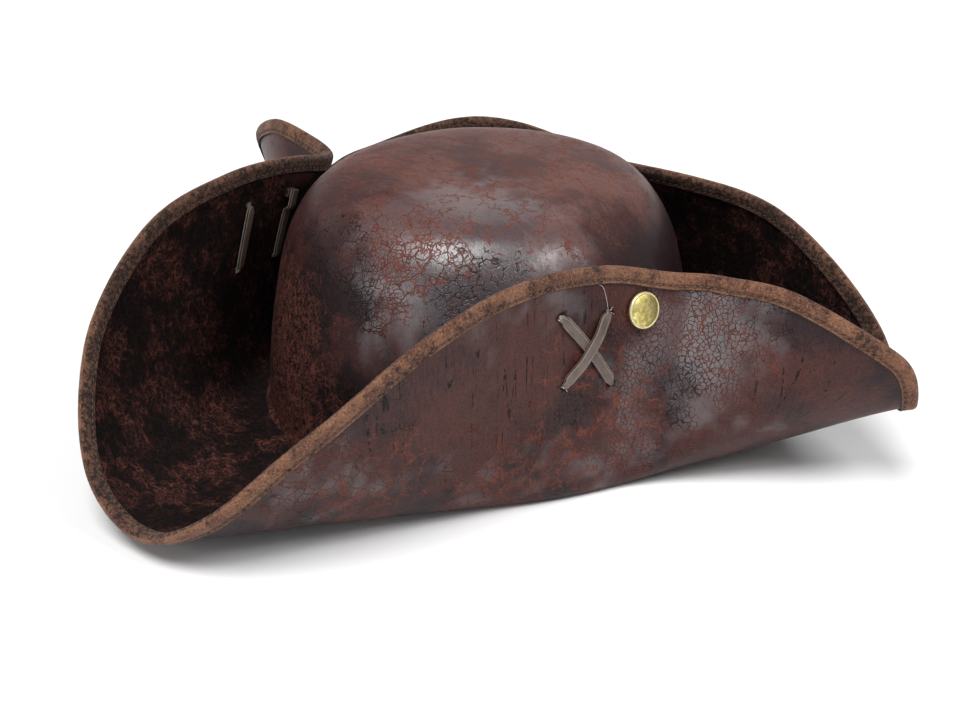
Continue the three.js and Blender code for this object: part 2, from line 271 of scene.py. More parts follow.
studForm = {
    "clearance": 0.9 * mm,
    "belowTape": 10 * mm,
    "holeDiameter": 3.8 * mm,
    "facets": 64,
    "smoothAngle": 60,
    # the next two place the painted highlight along the cap's rim
    "rimHighlightFrom": 7,           # in mm from the middle of the cap, as the next one
    "rimHighlightFade": 0.35,
    "upright": (0.94, -0.02, 0.33),     # which way a stud leans from the sheet under it, and how far
    "lean": 0.35,
    # half profile from the middle of the cap to the middle of the back: radius, and height over the seat
    "cap": (
        (0, 2.75), (1.6, 2.72), (3.2, 2.6), (4.8, 2.36), (6.0, 2.02), (6.75, 1.68), (7.05, 1.46), (7.2, 1.5),
        (7.42, 1.66), (7.66, 1.62), (7.86, 1.42), (7.98, 1.1), (8, 0.6), (7.92, 0.2), (7.7, 0), (1.5, 0),
    ),
    "back": ((1.5, 0), (3.7, 0), (3.95, 0.2), (4, 0.55), (3.8, 0.85), (3.2, 1), (1.2, 1.08), (0, 1.1)),
}


def flapSpots(section, along, belowTape):
    # spots on the left flap, along the rim from a section and below the tape
    place, below = np.full(len(along), float(section)), tapeForm["depth"] + belowTape
    ends = [middleAt(place + step, wayBelowRim(place + step, below)) for step in (-slopeStep, slopeStep)]
    where = place + along * 2 * slopeStep / np.linalg.norm(ends[1] - ends[0], axis=1)
    way = wayBelowRim(where, below)
    return middleAt(where, way), normalAt(where, way)


def laceHoles(fastening):
    height, half = laceForm["height"], fastening["spacing"] / 2
    corners = {
        "topFront": (-half, 0), "topRear": (half, 0), "bottomFront": (-half, 1), "bottomRear": (half, 1),
    }
    return {
        name: ((end + row * fastening["lean"]) * height, laceForm["belowTape"] + row * height)
        for name, (end, row) in corners.items()
    }


def acrossHat(vectors, side):
    return np.asarray(vectors) * (side, 1, 1)


holeSpots, studSpots = [], []
for fastening in fastenings.values():
    side = fastening["side"]
    points, normals = flapSpots(fastening["laceSection"], *np.array(list(laceHoles(fastening).values())).T)
    holeSpots += list(zip(acrossHat(points, side), acrossHat(normals, side)))
    points, normals = flapSpots(fastening["studSection"], np.zeros(1), np.full(1, studForm["belowTape"]))
    studSpots += list(zip(acrossHat(points, side), acrossHat(normals, side)))

# the shape above is centred on the crown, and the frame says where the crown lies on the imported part
rim = np.array([0.0])
tipWay = wayBelowRim(rim, tapeForm["thickness"] + laceForm["gap"])
halfWall = normalAt(rim, tipWay) * bodyForm["wall"] / 2
tip = middleAt(rim, tipWay) - np.abs(halfWall)
crownShift = np.array(Vector((0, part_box("hat_body")[0].y - tip[0, 1], 0)))


def noiseAt(points, span, start=(0, 0, 0)):
    return np.array([noise.noise(Vector(point) / span + Vector(start)) for point in points])


def unevennessAt(points):
    # slow swells of the sheet, none of them where it lies on the table, and a pull at each lace hole
    form = bodyForm
    fade = np.clip((points[:, 2] - form["evenBelow"]) / form["unevenFade"], 0, 1)
    swell = noiseAt(points, form["unevenSpan"]) * form["unevenness"] * fade
    for spot, _ in holeSpots:
        distance = np.linalg.norm(points - spot, axis=1)
        swell -= form["pull"] * np.exp(-(distance / form["pullSpan"]) ** 2)
    return swell


def skinAt(place, way):
    middle = middleAt(place, way)
    return middle + normalAt(place, way) * unevennessAt(middle)[:, None]


# steps for the whole of a piece in edit mode
merge = (bpy.ops.mesh.remove_doubles, {"threshold": 1e-6})
faceOut = (bpy.ops.mesh.normals_make_consistent, {"inside": False})


def editAll(*steps):
    bpy.ops.object.mode_set(mode="EDIT")
    for step, settings in steps:
        bpy.ops.mesh.select_all(action="SELECT")
        step(**settings)
    bpy.ops.object.mode_set(mode="OBJECT")


def vertexPlaces(piece):
    places = np.empty(len(piece.data.vertices) * 3)
    piece.data.vertices.foreach_get("co", places)
    return places.reshape(-1, 3)


def movePoints(piece, places):
    piece.data.vertices.foreach_set("co", places.ravel())
    piece.data.update()


def wrappedGrid(name, points, *steps):
    # a flat grid that is wrapped into shape, its columns running round the hat, and closed by the steps
    columns, rows = points.shape[0] - 1, points.shape[1] - 1
    bpy.ops.mesh.primitive_grid_add(x_subdivisions=columns, y_subdivisions=rows, size=1)
    piece = bpy.context.active_object
    piece.name = name
    flat = vertexPlaces(piece) + 0.5
    column = np.rint(flat[:, 0] * columns).astype(int)
    row = np.rint(flat[:, 1] * rows).astype(int)
    movePoints(piece, points[column, row] + crownShift)
    editAll(*steps)
    bpy.ops.object.shade_smooth()
    return piece


def placeNew(name, data):
    piece = bpy.data.objects.new(name, data)
    bpy.context.collection.objects.link(piece)
    bpy.context.view_layer.objects.active = piece
    piece.select_set(True)
    return piece


def finishPiece(piece, material, node=None):
    piece.data.materials.clear()
    piece.data.materials.append(material)
    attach(piece, "root")
    if node:
        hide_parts(node)
    piece.select_set(False)


def writeAttribute(piece, name, values, kind="FLOAT"):
    attribute = piece.data.attributes.new(name, kind, "POINT")
    attribute.data.foreach_set("value" if kind == "FLOAT" else "vector", np.ravel(values).astype(np.float32))


def markWrapped(piece, points, marks):
    # marks of a grid's points, given to the vertices of the piece that was wrapped from it
    tree = KDTree(len(points))
    for index, point in enumerate(points):
        tree.insert(point, index)
    tree.balance()
    nearest = np.array([tree.find(point)[1] for point in vertexPlaces(piece) - crownShift])
    for name, values in marks.items():
        writeAttribute(piece, name, np.ravel(values)[nearest])


# the moulded sheet: crown and brim in one
def makeSheet(material):
    form = bodyForm
    places = np.linspace(-sectionCount / 2, sectionCount / 2, form["placesRound"] + 1)
    rimWays = wayBelowRim(places, tapeForm["thickness"] + laceForm["gap"])
    crownWays = np.linspace(form["domeStart"], crownEnd, form["domeRows"] + 1)
    rootWays = np.linspace(crownEnd, rootEnd, form["rootRows"] + 1)[1:]
    fixedWays = np.concatenate([crownWays, rootWays, [stripEnd]])
    brimShares = np.linspace(0, 1, form["brimRows"] + 1)[1:]
    brimWays = stripEnd + brimShares[None, :] * (rimWays - stripEnd)[:, None]
    ways = np.concatenate([np.tile(fixedWays, (len(places), 1)), brimWays], axis=1)
    points = skinAt(np.repeat(places, ways.shape[1]), ways.ravel())
    sheet = wrappedGrid("moulded_sheet", points.reshape(*ways.shape, 3), merge)
    closeCrown(sheet)

    # the new skin goes under the old one
    sheet.vertex_groups.new(name="underSkin")
    wall = sheet.modifiers.new("wall", "SOLIDIFY")
    wall.thickness = form["wall"]
    wall.offset = 0
    wall.use_even_offset = True
    wall.shell_vertex_group = "underSkin"
    bpy.ops.object.modifier_apply(modifier=wall.name)
    pierce(sheet)
    bpy.ops.object.shade_smooth_by_angle(angle=math.radians(form["smoothAngle"]))
    markSheet(sheet)
    finishPiece(sheet, material, "hat_body")


def closeCrown(sheet):
    # the open top of the crown is filled, rounded and made to face up
    form, mesh = bodyForm, sheet.data

    def spreadOf(points):
        halfWidth, halfLength = form["crownHalfWidth"] - mm, form["crownHalfLength"] - mm
        return np.hypot(points[:, 0] / halfWidth, points[:, 1] / halfLength)

    old = len(mesh.vertices)
    found = vertexPlaces(sheet) - crownShift
    onRing = (spreadOf(found) < form["ringSpread"]) & (found[:, 2] > form["crownHeight"] / 2)
    mesh.vertices.foreach_set("select", onRing)
    ends = np.empty(len(mesh.edges) * 2, int)
    mesh.edges.foreach_get("vertices", ends)
    mesh.edges.foreach_set("select", onRing[ends.reshape(-1, 2)].all(1))
    mesh.polygons.foreach_set("select", np.zeros(len(mesh.polygons), bool))
    bpy.ops.object.mode_set(mode="EDIT")
    bpy.ops.mesh.select_mode(type="EDGE")
    bpy.ops.mesh.fill_grid(span=form["placesRound"] // 4)
    bpy.ops.object.mode_set(mode="OBJECT")
    editAll(faceOut)
    found = vertexPlaces(sheet) - crownShift
    top = found[old:]
    top[:, 2] = domeHeight(spreadOf(top))
    top[:, 2] += unevennessAt(top)
    movePoints(sheet, found + crownShift)
    if mesh.polygons[len(mesh.polygons) - 1].normal.z < 0:
        editAll((bpy.ops.mesh.flip_normals, {}))


def pierce(sheet):
    # holes for the laces and the posts of the studs
    drills = []
    spots = [(spot, normal, laceForm["holeDiameter"]) for spot, normal in holeSpots]
    spots += [(spot, normal, studForm["holeDiameter"]) for spot, normal in studSpots]
    for spot, normal, diameter in spots:
        turn = Vector((0, 0, 1)).rotation_difference(Vector(normal))
        bpy.ops.mesh.primitive_cylinder_add(
            vertices=bodyForm["holeSides"], radius=diameter / 2, depth=3 * bodyForm["wall"],
            location=Vector(spot) + Vector(crownShift), rotation=turn.to_euler())
        drills.append(bpy.context.active_object)
    bpy.ops.object.select_all(action="DESELECT")
    for drill in drills:
        drill.select_set(True)
    bpy.ops.object.join()
    drill = bpy.context.active_object
    bpy.ops.object.select_all(action="DESELECT")
    sheet.select_set(True)
    bpy.context.view_layer.objects.active = sheet
    piercing = sheet.modifiers.new("piercing", "BOOLEAN")
    piercing.operation = "DIFFERENCE"
    piercing.solver = "EXACT"
    piercing.object = drill
    bpy.ops.object.modifier_apply(modifier=piercing.name)
    bpy.data.objects.remove(drill, do_unlink=True)


# places of wear and of painted sheen on the sheet: centre and reach in mm of the imported frame, and strength
wearAndSheenPatches = {
    "glossAndPaintedSheen": (
        ((44, -14, 110), 44, 1.7), ((72, -108, 36), 36, 0.45), ((96, -50, 24), 28, 0.35),
        ((126, 46, 66), 38, 1.0), ((109, 28, 34), 30, 0.5), ((148, 60, 44), 34, 0.25),
        ((100, -5, 18), 26, 0.4),
    ),
    "crackle": (
        ((70, -112, 36), 36, 1.0), ((97, -40, 20), 34, 0.9), ((16, -34, 96), 32, 1.0),
        ((48, -24, 97), 26, 0.8),
        ((-20, -40, 84), 26, 0.8), ((100, 20, 20), 24, 0.6), ((-60, 120, 60), 50, 0.6),
        ((60, 150, 40), 46, 0.7),
    ),
    "craze": (
        ((124, 49, 66), 34, 1.0), ((109, 28, 40), 30, 1.0), ((116, 30, 60), 28, 1.0), ((8, -36, 90), 24, 0.7),
        ((-110, 40, 60), 40, 0.8), ((-90, -60, 50), 36, 0.7), ((0, 155, 70), 44, 0.8),
    ),
    "rust": (
        ((17, 52, 114), 52, 0.9), ((45, 25, 112), 34, 0.8), ((-30, 20, 110), 40, 0.7),
        ((20, 90, 112), 50, 0.6),
        ((128, 58, 74), 18, 0.8), ((108, 22, 44), 20, 0.9), ((75, -95, 24), 26, 0.9),
        ((30, -20, 101), 22, 0.9),
        ((98, -30, 12), 26, 0.9), ((100, 0, 60), 18, 0.6), ((-100, 10, 40), 40, 0.8),
        ((20, 160, 60), 40, 0.7),
    ),
    "grain": (
        ((86, -70, 68), 46, 1.0), ((98, -30, 70), 36, 1.0), ((102, 20, 88), 28, 0.8),
        ((165, 62, 48), 34, 0.8),
        ((-90, -60, 70), 50, 0.8), ((-140, 70, 60), 50, 0.8), ((60, 160, 80), 50, 0.8),
    ),
}


# zones by height or by the way across, in mm from the crown's middle: where each starts, and its fade
zones = {"top": (92, 16), "side": (96, -26), "aside": (26, -46), "back": (60, -20)}
markForm = {
    "crownReach": 101, "blotch": 34, "clump": 18, "clumpStretch": (1, 1, 0.8), "edge": 14, "stray": 0.55,
}


def zoneOf(values, name):
    start, fade = zones[name]
    return np.clip((values - start) / fade, 0, 1)


def slowNoise(points, span, start):
    origin = Vector((start, 2 * start, -start))
    found = [noise.fractal(Vector(point) / (span * mm) + origin, 0.8, 2.0, 3) for point in points]
    return np.clip(np.array(found) * 0.75 + 0.5, 0, 1)


def markSheet(sheet):
    # what the material needs to know: which skin a point is on, where painted shade goes, and how it is worn
    # there
    form = markForm
    found = vertexPlaces(sheet)
    under = np.zeros(len(found))
    group = sheet.vertex_groups["underSkin"].index
    for vertex in sheet.data.vertices:
        for entry in vertex.groups:
            if entry.group == group:
                under[vertex.index] = entry.weight
    sheet.vertex_groups.clear()
    local = (found - crownShift) / mm
    outwards = np.hypot(local[:, 0], local[:, 1])
    around = unit(local[:, :2] + 1e-6) * 150
    flow = np.stack([around[:, 0], around[:, 1], local[:, 2]], 1)
    writeAttribute(sheet, "flow", flow, "FLOAT_VECTOR")

    # painted shade in the brim's troughs and on the crown's sides where the brim shades them, with brown felt
    # in it
    onCrown = (outwards < form["crownReach"]) & (under < 0.5)
    side = zoneOf(local[:, 2], "side") * zoneOf(local[:, 0], "aside") * onCrown
    back = zoneOf(local[:, 2], "back") * onCrown
    trough = (1 - under) * (1 - onCrown)
    clumps = slowNoise(found * form["clumpStretch"], form["clump"], 11)
    marks = {
        "top": zoneOf(local[:, 2], "top") * onCrown, "blotch": slowNoise(found, form["blotch"], 5),
        "shade": np.clip(trough + np.maximum(side, back), 0, 1), "side": side,
        "feltInShade": np.maximum(side, clumps * (trough + back)),
    }
    for index, (name, patches) in enumerate(wearAndSheenPatches.items()):
        coverage = np.zeros(len(found))
        for centre, reach, strength in patches:
            distance = np.linalg.norm(found / mm - np.array(centre), axis=1)
            coverage = np.maximum(coverage, strength * np.exp(-(distance / reach) ** 2))
        coverage = coverage + (slowNoise(found, form["edge"], 20 + 7 * index) - 0.5) * form["stray"]
        marks[name] = np.clip(coverage, 0, 1)
    for name, values in marks.items():
        writeAttribute(sheet, name, values)


# the folded tape round the rim, with its stitching
def tapeProfile():
    # closed profile: distance below the rim, height over the sheet's middle, and its share in the groove
    form = tapeForm
    inside = bodyForm["wall"] / 2 + form["gap"]
    outside = inside + form["thickness"]
    half, depth = form["thickness"] / 2, form["depth"]
    face = [(distance, outside, 1) for distance in np.linspace(depth - half, outside, form["faceSteps"])]
    turns = np.linspace(0, math.pi, form["foldSteps"] + 2)[1:-1]
    gapShade = [(outside * (1 - math.sin(turn)), outside * math.cos(turn), 0) for turn in turns]
    turns = np.linspace(-math.pi / 2, math.pi / 2, form["lipSteps"] + 1)[:-1]
    lip = [(depth + half * (math.cos(turn) - 1), inside + half * (1 + math.sin(turn)), 1) for turn in turns]
    upper = lip + face
    lower = [(distance, -lift, part) for distance, lift, part in reversed(upper)]
    turns = np.linspace(0, math.pi, form["innerSteps"] + 1)
    inner = [(outside - inside * math.sin(turn), -inside * math.cos(turn), 0) for turn in turns]
    return np.array(upper + gapShade + lower + inner)


def makeTape(material, threadMaterial):
    form = tapeForm
    profile = tapeProfile()
    below, height, grooved = np.vstack([profile, profile[:1]]).T
    places = np.linspace(-sectionCount / 2, sectionCount / 2, form["placesRound"] + 1)[:-1]
    count, rows, depth = len(places), len(below), form["depth"]
    grid = np.repeat(places, rows)
    edge = middleAt(places, np.full(count, float(rimEnd)))
    wander = noiseAt(edge, form["wanderSpan"]) * form["edgeWander"]
    steps = np.linalg.norm(np.roll(edge, -1, axis=0) - edge, axis=1)
    around = np.cumsum(steps) - steps
    total = steps.sum()
    stitches = int(round(total / form["pitch"]))
    distance = below + wander[:, None] * np.clip((below - depth / 2) / (depth / 2), 0, 1)
    seam = depth - form["stitchInset"] + wander[:, None] * form["seamWander"]
    groove = np.exp(-(((distance - seam) / (form["grooveWidth"] / 2)) ** 2)) * grooved
    pull = 1 + form["stitchPull"] * np.cos(2 * math.pi * around / total * stitches)[:, None]
    ways = wayBelowRim(grid, distance.ravel())
    middle = middleAt(grid, ways)
    swell = noiseAt(middle, form["swellSpan"], form["swellStart"]).reshape(count, rows) * form["swell"]
    outwards = np.sign(height) * (np.abs(height) > bodyForm["wall"] / 2 + form["gap"] * 1.5)
    lift = height - outwards * groove * form["grooveDepth"] * pull + outwards * swell
    lift = lift + unevennessAt(middle).reshape(count, rows)
    flatPoints = middle + normalAt(grid, ways) * lift.reshape(-1)[:, None]
    points = flatPoints.reshape(count, rows, 3)
    tape = wrappedGrid("rim_tape", np.concatenate([points, points[:1]]), merge, faceOut)
    allRound = np.ones((count, 1))
    # the lip band and the groove mark where painted shadow and painted shade go
    markWrapped(tape, flatPoints, {
        "inner": allRound * (height > form["innerFrom"]), "groove": groove,
        "lip": allRound * (below > depth - form["lipShadowBand"]),
    })
    finishPiece(tape, material, "rim_binding")

    marks = (np.arange(stitches) + 0.5) / stitches * total
    at = np.interp(marks, np.append(around, total), np.append(places, places[0] + sectionCount))
    wanderAt = np.interp(marks, np.append(around, total), np.append(wander, wander[0]))
    ways = wayBelowRim(at, depth - form["stitchInset"] + wanderAt * form["seamWander"])
    makeThread(threadMaterial, at, ways)


threadForm = {
    "size": np.array((1.15, 0.3, 0.26)) * mm,     # half length, width and height of a stitch
    "lean": 7,
    "sink": 0.5,
    "facets": (6, 4),
}


def makeThread(material, places, ways):
    # one stitch is modelled, and its copies go all round on both faces
    form, stitch = tapeForm, threadForm
    middle = middleAt(places, ways)
    normal = normalAt(places, ways)
    heading = unit(np.roll(middle, -1, axis=0) - np.roll(middle, 1, axis=0))
    across = unit(np.cross(normal, heading))
    height = bodyForm["wall"] / 2 + form["gap"] + form["thickness"] - form["grooveDepth"] * stitch["sink"]
    segments, rings = stitch["facets"]
    bpy.ops.mesh.primitive_uv_sphere_add(segments=segments, ring_count=rings, radius=1)
    bead = bpy.context.active_object
    shape = vertexPlaces(bead) * stitch["size"]
    faces = [tuple(face.vertices) for face in bead.data.polygons]
    bpy.data.objects.remove(bead, do_unlink=True)
    vertices, polygons = [], []
    lean = math.radians(stitch["lean"])
    for sign in (1, -1):
        ahead = heading * math.cos(lean) + across * math.sin(lean) * sign
        aside = unit(np.cross(normal, ahead))
        centre = middle + normal * (sign * height + unevennessAt(middle))[:, None] + crownShift
        for index in range(len(places)):
            base = len(vertices)
            axes = np.stack([ahead[index], aside[index], normal[index] * sign])
            vertices += [tuple(point) for point in shape @ axes + centre[index]]
            polygons += [tuple(base + corner for corner in face) for face in faces]
    mesh = bpy.data.meshes.new("tape_thread")
    mesh.from_pydata(vertices, [], polygons)
    thread = placeNew("tape_thread", mesh)
    editAll(faceOut)
    bpy.ops.object.shade_smooth()
    finishPiece(thread, material)


# laces, each one strap
def laceStations(fastening):
    # the strap's way: out at the top rear, crosswise down, up inside, crosswise down again and up inside
    form = laceForm
    rest = bodyForm["wall"] / 2 + form["clearance"] + form["thickness"] / 2
    low = form["tuck"] * rest
    over = form["thickness"] + form["gap"]
    holes = laceHoles(fastening)
    wide, neck = (form["width"], form["thickness"]), (form["neckWidth"], form["neckThickness"])
    runs = (
        ("topRear", "bottomFront", -1, over), ("bottomFront", "topFront", 1, 0),
        ("topFront", "bottomRear", -1, 0), ("bottomRear", "topRear", 1, 0),
    )
    along, below = holes["topRear"]
    stations = [
        (along, below - form["tail"], rest, *wide, 0, 1),
        (along, below - form["turn"], rest, *wide, 0, 1),
        (along, below - form["neckTurn"], low, *neck, 0, 1),
    ]
    for index, (start, end, side, crossing) in enumerate(runs):
        first, last = np.array(holes[start]), np.array(holes[end])
        length = np.linalg.norm(last - first)
        heading = (last - first) / length

        def on(distance, lift, section):
            stations.append((*(first + heading * distance), side * lift, *section, *heading))

        on(0, 0, neck)
        on(form["neckTurn"], low, neck)
        on(form["turn"], rest, wide)
        on(length / 2 - form["width"], rest + crossing, wide)
        on(length / 2 + form["width"], rest + crossing, wide)
        if index < len(runs) - 1:
            on(length - form["turn"], rest, wide)
            on(length - form["neckTurn"], low, neck)
        else:
            on(length - 2 * form["turn"], rest, wide)
            on(length - form["turn"], rest + over + form["gap"], wide)
            on(length + form["tail"], rest + over, wide)
    return np.array(stations)


def smoothed(stations, steps):
    # a smooth way through all the stations, without overshoot
    count = len(stations)
    t = np.linspace(0, count - 1, (count - 1) * steps + 1)
    first = np.clip(np.floor(t).astype(int), 0, count - 2)
    s = (t - first)[:, None]
    slopes = np.gradient(stations, axis=0)
    steep = np.diff(stations, axis=0)
    for column in range(stations.shape[1]):
        for index in range(1, count - 1):
            before, after = steep[index - 1, column], steep[index, column]
            steepest = min(abs(slopes[index, column]), 2 * abs(before), 2 * abs(after))
            slopes[index, column] = math.copysign(steepest, before) if before * after > 0 else 0
    a, b, slopeA, slopeB = stations[first], stations[first + 1], slopes[first], slopes[first + 1]
    return (a * (2 * s ** 3 - 3 * s ** 2 + 1) + slopeA * (s ** 3 - 2 * s ** 2 + s)
            + b * (3 * s ** 2 - 2 * s ** 3) + slopeB * (s ** 3 - s ** 2))


# a strap of three plies, whose middle one stands out at one side:
# share of the half width and half thickness, how pale a cut edge is, and how dark the painted shade in a gap
# is
strapEdges = {
    "plain": (
        (0, 1.04, 0, 0), (0.5, 1.03, 0, 0), (0.86, 1.0, 0, 0), (0.95, 0.9, 0.5, 0), (0.99, 0.55, 0.2, 0.3),
        (0.97, 0.1, 0, 0.8),
    ),
    "stepped": (
        (-0.99, 0.12, 0.4, 0), (-0.93, 0.3, 1, 0), (-0.86, 0.3, 0.4, 0.4), (-0.81, 0.2, 0, 1),
        (-0.68, 0.2, 0, 1), (-0.66, 0.8, 0, 0.6), (-0.6, 0.99, 0.9, 0), (-0.52, 1.02, 0.2, 0),
        (-0.3, 1.04, 0, 0),
    ),
}


def makeLace(name, fastening, material):
    form, section = laceForm, fastening["laceSection"]
    along, below, lift, width, thickness, aheadAlong, aheadBelow = smoothed(
        laceStations(fastening), form["stepsPerStation"]).T
    point, normal = flapSpots(section, along, below)
    ahead, _ = flapSpots(section, along + aheadAlong * form["step"], below + aheadBelow * form["step"])
    centre = point + normal * (lift + unevennessAt(point))[:, None]
    across = unit(np.cross(normal, unit(ahead - point)))
    tangent = unit(np.gradient(centre, axis=0))
    facing = unit(np.cross(tangent, across))
    aside = unit(np.cross(facing, tangent))
    plain, stepped = (list(edge) for edge in strapEdges.values())
    under, steppedUnder = (
        [(u, -v, cut, gapShade) for u, v, cut, gapShade in edge[::-1]] for edge in (plain, stepped))
    profile = np.array(plain + under + steppedUnder + stepped + plain[:1])
    rings = (centre[:, None, :]
             + aside[:, None, :] * (profile[None, :, :1] * width[:, None, None] / 2)
             + facing[:, None, :] * (profile[None, :, 1:2] * thickness[:, None, None] / 2))
    rings = acrossHat(rings, fastening["side"])
    lace = wrappedGrid(name + "_strap", rings, merge, faceOut)
    allAlong = np.ones((len(rings), 1))
    marks = {"cut": allAlong * profile[:, 2], "gapShade": allAlong * profile[:, 3]}
    markWrapped(lace, rings.reshape(-1, 3), marks)

    # both cut ends are closed
    bpy.ops.object.mode_set(mode="EDIT")
    bpy.ops.mesh.select_all(action="DESELECT")
    bpy.ops.mesh.select_mode(type="EDGE")
    bpy.ops.mesh.select_non_manifold()
    bpy.ops.mesh.edge_face_add()
    bpy.ops.object.mode_set(mode="OBJECT")
    editAll(faceOut)
    bpy.ops.object.shade_smooth_by_angle(angle=math.radians(form["smoothAngle"]))
    finishPiece(lace, material, name)


# loose fibres at the holes, and one long thread that hangs from the tape
fibreForm = {
    "radius": 0.075 * mm,
    "perTuft": 9,
    "spread": 1.3 * mm,
    "length": 2.4 * mm,
    "lift": 1.7 * mm,
    "liftStray": (-0.4, 0.5),     # in mm, as the next one
    "stray": (-0.2, 0.2),
    "smoothness": 3,
    # flap, hole, and the face of the flap that the fibres stand on
    "tufts": (
        ("left", "topRear", -1), ("left", "bottomFront", -1), ("left", "topFront", -1),
        ("right", "bottomFront", 1), ("right", "topRear", -1), ("right", "bottomFront", -1),
    ),
    # the long thread in mm: along from its hole, below the rim tape, and height over the sheet's middle
    "longThread": ((-7.2, 0.2, -1.3), (-5.4, 0.9, -1.5), (-2.6, 5.5, -1.6), (-0.4, 11.2, -1.5)),
}


def overFlap(fastening, along, below, lift):
    point, normal = flapSpots(fastening["laceSection"], along, below)
    return acrossHat(point + normal * lift[:, None], fastening["side"]) + crownShift


def makeFibres(material):
    form = fibreForm
    chance = np.random.RandomState(4)
    knots = np.array((0, 0.5, 1))
    strands = []
    for flap, hole, face in form["tufts"]:
        for _ in range(form["perTuft"]):
            start = chance.uniform(-1, 1, 2) * form["spread"]
            step = chance.uniform(-1, 1, 2) * form["length"] / 2
            lifts = face * (form["lift"] + chance.uniform(*form["liftStray"], 3) * mm)
            alongs, belows = [
                base + start[axis] + step[axis] * knots + chance.uniform(*form["stray"], 3) * mm
                for axis, base in enumerate(laceHoles(fastenings[flap])[hole])]
            strands.append(overFlap(fastenings[flap], alongs, belows, lifts))
    alongs, belows, lifts = np.array(form["longThread"]).T * mm
    start = laceHoles(fastenings["left"])["topRear"][0]
    strands.append(overFlap(fastenings["left"], start + alongs, belows, lifts))
    curve = bpy.data.curves.new("loose_fibres", "CURVE")
    curve.dimensions = "3D"
    curve.bevel_depth = form["radius"]
    curve.bevel_resolution = 0
    curve.use_fill_caps = True
    for strand in strands:
        spline = curve.splines.new("BEZIER")
        spline.bezier_points.add(len(strand) - 1)
        for knot, point in zip(spline.bezier_points, strand):
            knot.co = point
            knot.handle_left_type = knot.handle_right_type = "AUTO"
        spline.resolution_u = form["smoothness"]
    placeNew("loose_fibres", curve)
    bpy.ops.object.convert(target="MESH")
    finishPiece(bpy.context.active_object, material)


# domed studs, each spun from its half profile
def makeStud(name, spot, normal, side, material):
    form = studForm
    upright = Vector(form["upright"]) * Vector((side, 1, 1))
    normal = Vector(normal).lerp(-upright, form["lean"]).normalized()
    seat = bodyForm["wall"] / 2 + form["clearance"]
    outline = [(radius * mm, 0, height * mm + seat) for radius, height in form["cap"]]
    outline += [(radius * mm, 0, -height * mm - seat) for radius, height in form["back"]]
    mesh = bpy.data.meshes.new(name + "_cap")
    mesh.from_pydata(outline, [(i, i + 1) for i in range(len(outline) - 1)], [])
    stud = placeNew(name + "_cap", mesh)
    turned = {"steps": form["facets"], "angle": 2 * math.pi, "center": (0, 0, 0), "axis": (0, 0, 1)}
    editAll((bpy.ops.mesh.spin, turned), merge, faceOut)
    radii = np.hypot(*vertexPlaces(stud)[:, :2].T) / mm
    # a band for the painted highlight along the cap's rim
    writeAttribute(stud, "rim", np.clip((radii - form["rimHighlightFrom"]) / form["rimHighlightFade"], 0, 1))
    turn = Vector((0, 0, -1)).rotation_difference(normal).to_matrix().to_4x4()
    turn.translation = Vector(spot) + Vector(crownShift)
    mesh.transform(turn)
    mesh.update()
    bpy.ops.object.shade_smooth_by_angle(angle=math.radians(form["smoothAngle"]))
    finishPiece(stud, material, name)


# materials: each helper adds nodes to the tree on the bench and gives what comes out of them
bench = {}


def newTree(name):
    material = bpy.data.materials.new(name)
    material.use_nodes = True
    bench["tree"] = material.node_tree
    return material, bench["tree"].nodes["Principled BSDF"]


def feed(node, inputs):
    # links what comes from a node, and sets what is the same all over
    for key, value in inputs.items():
        if isinstance(value, bpy.types.NodeSocket):
            node.id_data.links.new(value, node.inputs[key])
        else:
            node.inputs[key].default_value = value


def add(kind, inputs=None, **settings):
    node = bench["tree"].nodes.new("ShaderNode" + kind)
    for key, value in settings.items():
        setattr(node, key, value)
    feed(node, inputs or {})
    return node.outputs


def reckoned(operation, *values, clamp=False):
    return add("Math", dict(enumerate(values)), operation=operation, use_clamp=clamp)[0]


def shifted(operation, vector, change):
    key = "Scale" if operation == "SCALE" else 1
    return add("VectorMath", {0: vector, key: change}, operation=operation)["Vector"]


def inMillimetres():
    return shifted("SCALE", add("TexCoord")["Object"], 1 / mm)


def stretched(vector, scale):
    return shifted("MULTIPLY", vector, scale)


def patches(vector, span, detail=3.0, roughness=0.55, distortion=0.0):
    return add("TexNoise", {
        "Vector": vector, "Scale": 1 / span, "Detail": detail, "Roughness": roughness,
        "Distortion": distortion,
    })["Fac"]


def strayed(vector, span, reach):
    # the same coordinates, pushed about by slow noise
    drift = add("TexNoise", {"Vector": vector, "Scale": 1 / span, "Detail": 2.0})["Color"]
    drift = shifted("SUBTRACT", drift, (0.5, 0.5, 0.5))
    return shifted("ADD", vector, shifted("SCALE", drift, 2 * reach))


def fissures(vector, span):
    # distance from the nearest edge in a net of cells
    return add("TexVoronoi", {"Vector": vector, "Scale": 1 / span}, feature="DISTANCE_TO_EDGE")["Distance"]


def between(value, low, high, start=0.0, end=1.0):
    return add("MapRange", {
        "Value": value, "From Min": low, "From Max": high, "To Min": start, "To Max": end,
    }, interpolation_type="SMOOTHSTEP")["Result"]


def ridge(value):
    # highest where the noise crosses its middle
    away = reckoned("ABSOLUTE", reckoned("SUBTRACT", value, 0.5))
    return reckoned("MULTIPLY_ADD", away, -2.0, 1.0)


def both(first, second):
    return reckoned("MULTIPLY", first, second, clamp=True)


def sumOf(first, second):
    return reckoned("ADD", first, second, clamp=True)


def layered(*layers):
    # one height from several patterns, each with its rise
    height = 0.0
    for pattern, rise in layers:
        height = reckoned("MULTIPLY_ADD", pattern, rise, height)
    return height


def painted(factor, under, over):
    return add("Mix", {"Factor": factor, 6: under, 7: over}, data_type="RGBA")[2]


def mixed(factor, under, over):
    return add("Mix", {"Factor": factor, 2: under, 3: over}, data_type="FLOAT")[0]


def attributes(*names):
    return [add("Attribute", attribute_name=name)["Fac"] for name in names]


def raised(height, depth):
    return add("Bump", {"Height": height, "Distance": depth, "Strength": 1.0})["Normal"]


